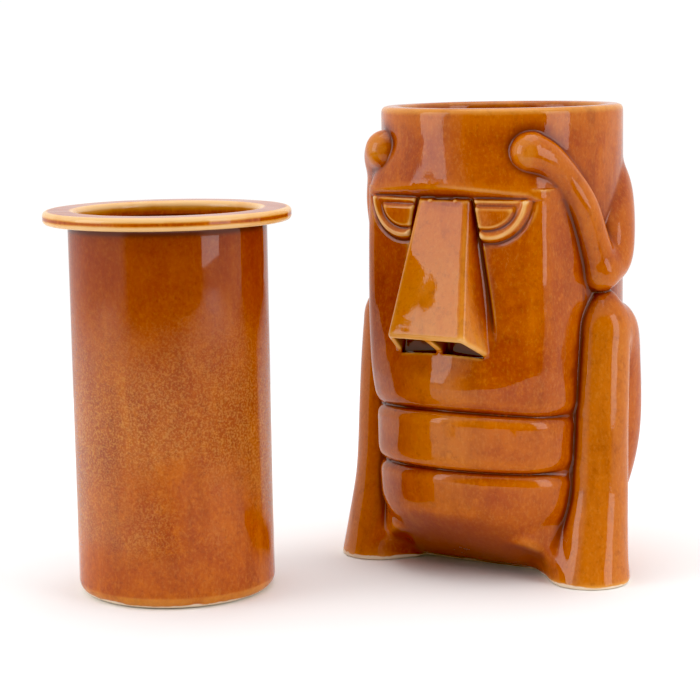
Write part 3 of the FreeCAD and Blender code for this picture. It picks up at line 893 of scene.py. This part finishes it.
def cup_glaze():
    """The cup's glaze crawls into an orange-peel speckle over the lower part of its wall."""
    graph = glaze_material("cup_amber_glaze", 0.40, 0.0013)
    here = graph.place()
    patch = graph.noise(here, 16.0, 2.0, 0.5)
    low = graph.spread(graph.height(), 0.116, 0.060, 0.0, 1.0)
    off_base = graph.spread(graph.height(), 0.012, 0.026, 0.0, 1.0)
    where = graph.math("MULTIPLY", graph.math("MULTIPLY", low, off_base), graph.spread(patch, 0.32, 0.56))
    fine = graph.noise(here, 1350.0, 3.0, 0.65)
    peel = graph.math("MULTIPLY", fine, where)
    specks = graph.math("MULTIPLY", graph.spread(fine, 0.46, 0.60), where)
    body = graph.shader.inputs["Base Color"].links[0].from_socket
    # The body grows darker upward towards the flange.
    darker_towards_flange = graph.spread(graph.height(), 0.060, 0.120, 0.0, 0.55)
    under_flange = graph.spread(graph.height(), 0.1316, 0.1324, 1.0, 0.0)
    body = graph.mix(graph.math("MULTIPLY", darker_towards_flange, under_flange), body, RUSSET)
    # Painted shade and pooled glaze: a dark umber band on the body just under the flange.
    line = graph.math("MULTIPLY", graph.spread(graph.height(), 0.1285, 0.1310, 0.0, 0.90), under_flange)
    body = graph.mix(line, body, UMBER)
    body = graph.mix(graph.math("MULTIPLY", specks, 0.42), body, GOLD)
    graph.feed(graph.shader.inputs["Base Color"], body)
    add_bumps(
        graph,
        [
            (graph.noise(graph.place((1.0, 1.0, 0.35)), 30.0, 2.0, 0.5), 0.0010),
            (peel, 0.0009),
        ],
    )
    return graph.material


mug.data.materials.append(mug_glaze())
cup.data.materials.append(cup_glaze())

# ------------------------------------------------------------------ floor, lights and camera

TABLE_R = 0.42
MIDDLE = (-0.03, -0.03, -0.00005)  # of the table top, just under the pieces
DARK_SIDE = Vector((0.548, -0.836, 0.0))  # the unlit end of the studio


def add_studio():
    """Soft white light from every side but one, as in a room with an unlit end."""
    world = bpy.data.worlds.new("studio")
    world.use_nodes = True
    nodes, links = world.node_tree.nodes, world.node_tree.links
    dot = nodes.new("ShaderNodeVectorMath")
    dot.operation = "DOT_PRODUCT"
    dot.inputs[1].default_value = DARK_SIDE
    links.new(nodes.new("ShaderNodeTexCoord").outputs["Generated"], dot.inputs[0])
    fade = nodes.new("ShaderNodeMapRange")
    fade.interpolation_type = "SMOOTHSTEP"
    for name, value in (("From Min", 0.55), ("From Max", 0.80), ("To Min", 1.0), ("To Max", 0.28)):
        fade.inputs[name].default_value = value
    links.new(dot.outputs["Value"], fade.inputs["Value"])
    links.new(fade.outputs["Result"], nodes["Background"].inputs["Strength"])
    nodes["Background"].inputs["Color"].default_value = (1, 1, 1, 1)
    bpy.context.scene.world = world


def add_floor():
    """A round white table top."""
    bpy.ops.mesh.primitive_circle_add(vertices=160, radius=TABLE_R, fill_type="NGON", location=MIDDLE)
    floor = bpy.context.object
    floor.name = "studio_floor"
    graph = Graph("floor_paper")
    graph.shader.inputs["Base Color"].default_value = (0.95, 0.95, 0.95, 1)
    graph.shader.inputs["Roughness"].default_value = 0.9
    graph.shader.inputs["Specular IOR Level"].default_value = 0.1
    floor.data.materials.append(graph.material)


def add_softbox(name, position, target, width, height, radiance):
    """A rectangular softbox of a given size and brightness, aimed at a target."""
    data = bpy.data.lights.new(name, "AREA")
    data.shape = "RECTANGLE"
    data.size = width
    data.size_y = height
    data.energy = radiance * math.pi * width * height
    lamp = bpy.data.objects.new(name, data)
    bpy.context.scene.collection.objects.link(lamp)
    lamp.location = position
    lamp.rotation_euler = (Vector(target) - Vector(position)).to_track_quat("-Z", "Y").to_euler()


CAMERA_AT = Vector((0.3782, -0.6809, 0.1951))
CAMERA_ANGLES = (33.259, 8.446, -0.945)  # azimuth, degrees down and roll
LENS = 108.14


def add_camera():
    """A long lens, three quarters on and a little above."""
    azimuth, pitch, roll = (math.radians(angle) for angle in CAMERA_ANGLES)
    right = Vector((math.cos(azimuth), math.sin(azimuth), 0.0))
    level = Vector((-math.sin(azimuth), math.cos(azimuth), 0.0))
    ahead = level * math.cos(pitch) - Vector((0, 0, math.sin(pitch)))
    up = right.cross(ahead)
    turned_right = right * math.cos(roll) + up * math.sin(roll)
    turned_up = up * math.cos(roll) - right * math.sin(roll)
    data = bpy.data.cameras.new("studio_camera")
    data.sensor_width = 36.0
    data.lens = LENS
    camera = bpy.data.objects.new("studio_camera", data)
    bpy.context.scene.collection.objects.link(camera)
    turn = Matrix((turned_right, turned_up, -ahead)).transposed().to_4x4()
    camera.matrix_world = Matrix.Translation(CAMERA_AT) @ turn
    bpy.context.scene.camera = camera


add_floor()
aim = (-0.03, -0.03, 0.08)
add_softbox("left_softbox", (-0.80, -1.02, 0.52), aim, 0.65, 0.95, 2.4)
add_softbox("right_softbox", (1.15, -0.15, 0.45), aim, 0.5, 1.0, 2.6)
add_softbox("top_softbox", (0.0, 0.1, 1.5), aim, 1.2, 1.2, 1.2)
add_studio()
view = bpy.context.scene.view_settings
view.view_transform = "Standard"
view.use_curve_mapping = True
view.curve_mapping.black_level = (0.004, 0.007, 0.014)
view.curve_mapping.white_level = (0.97, 0.97, 0.97)
view.curve_mapping.update()
add_camera()
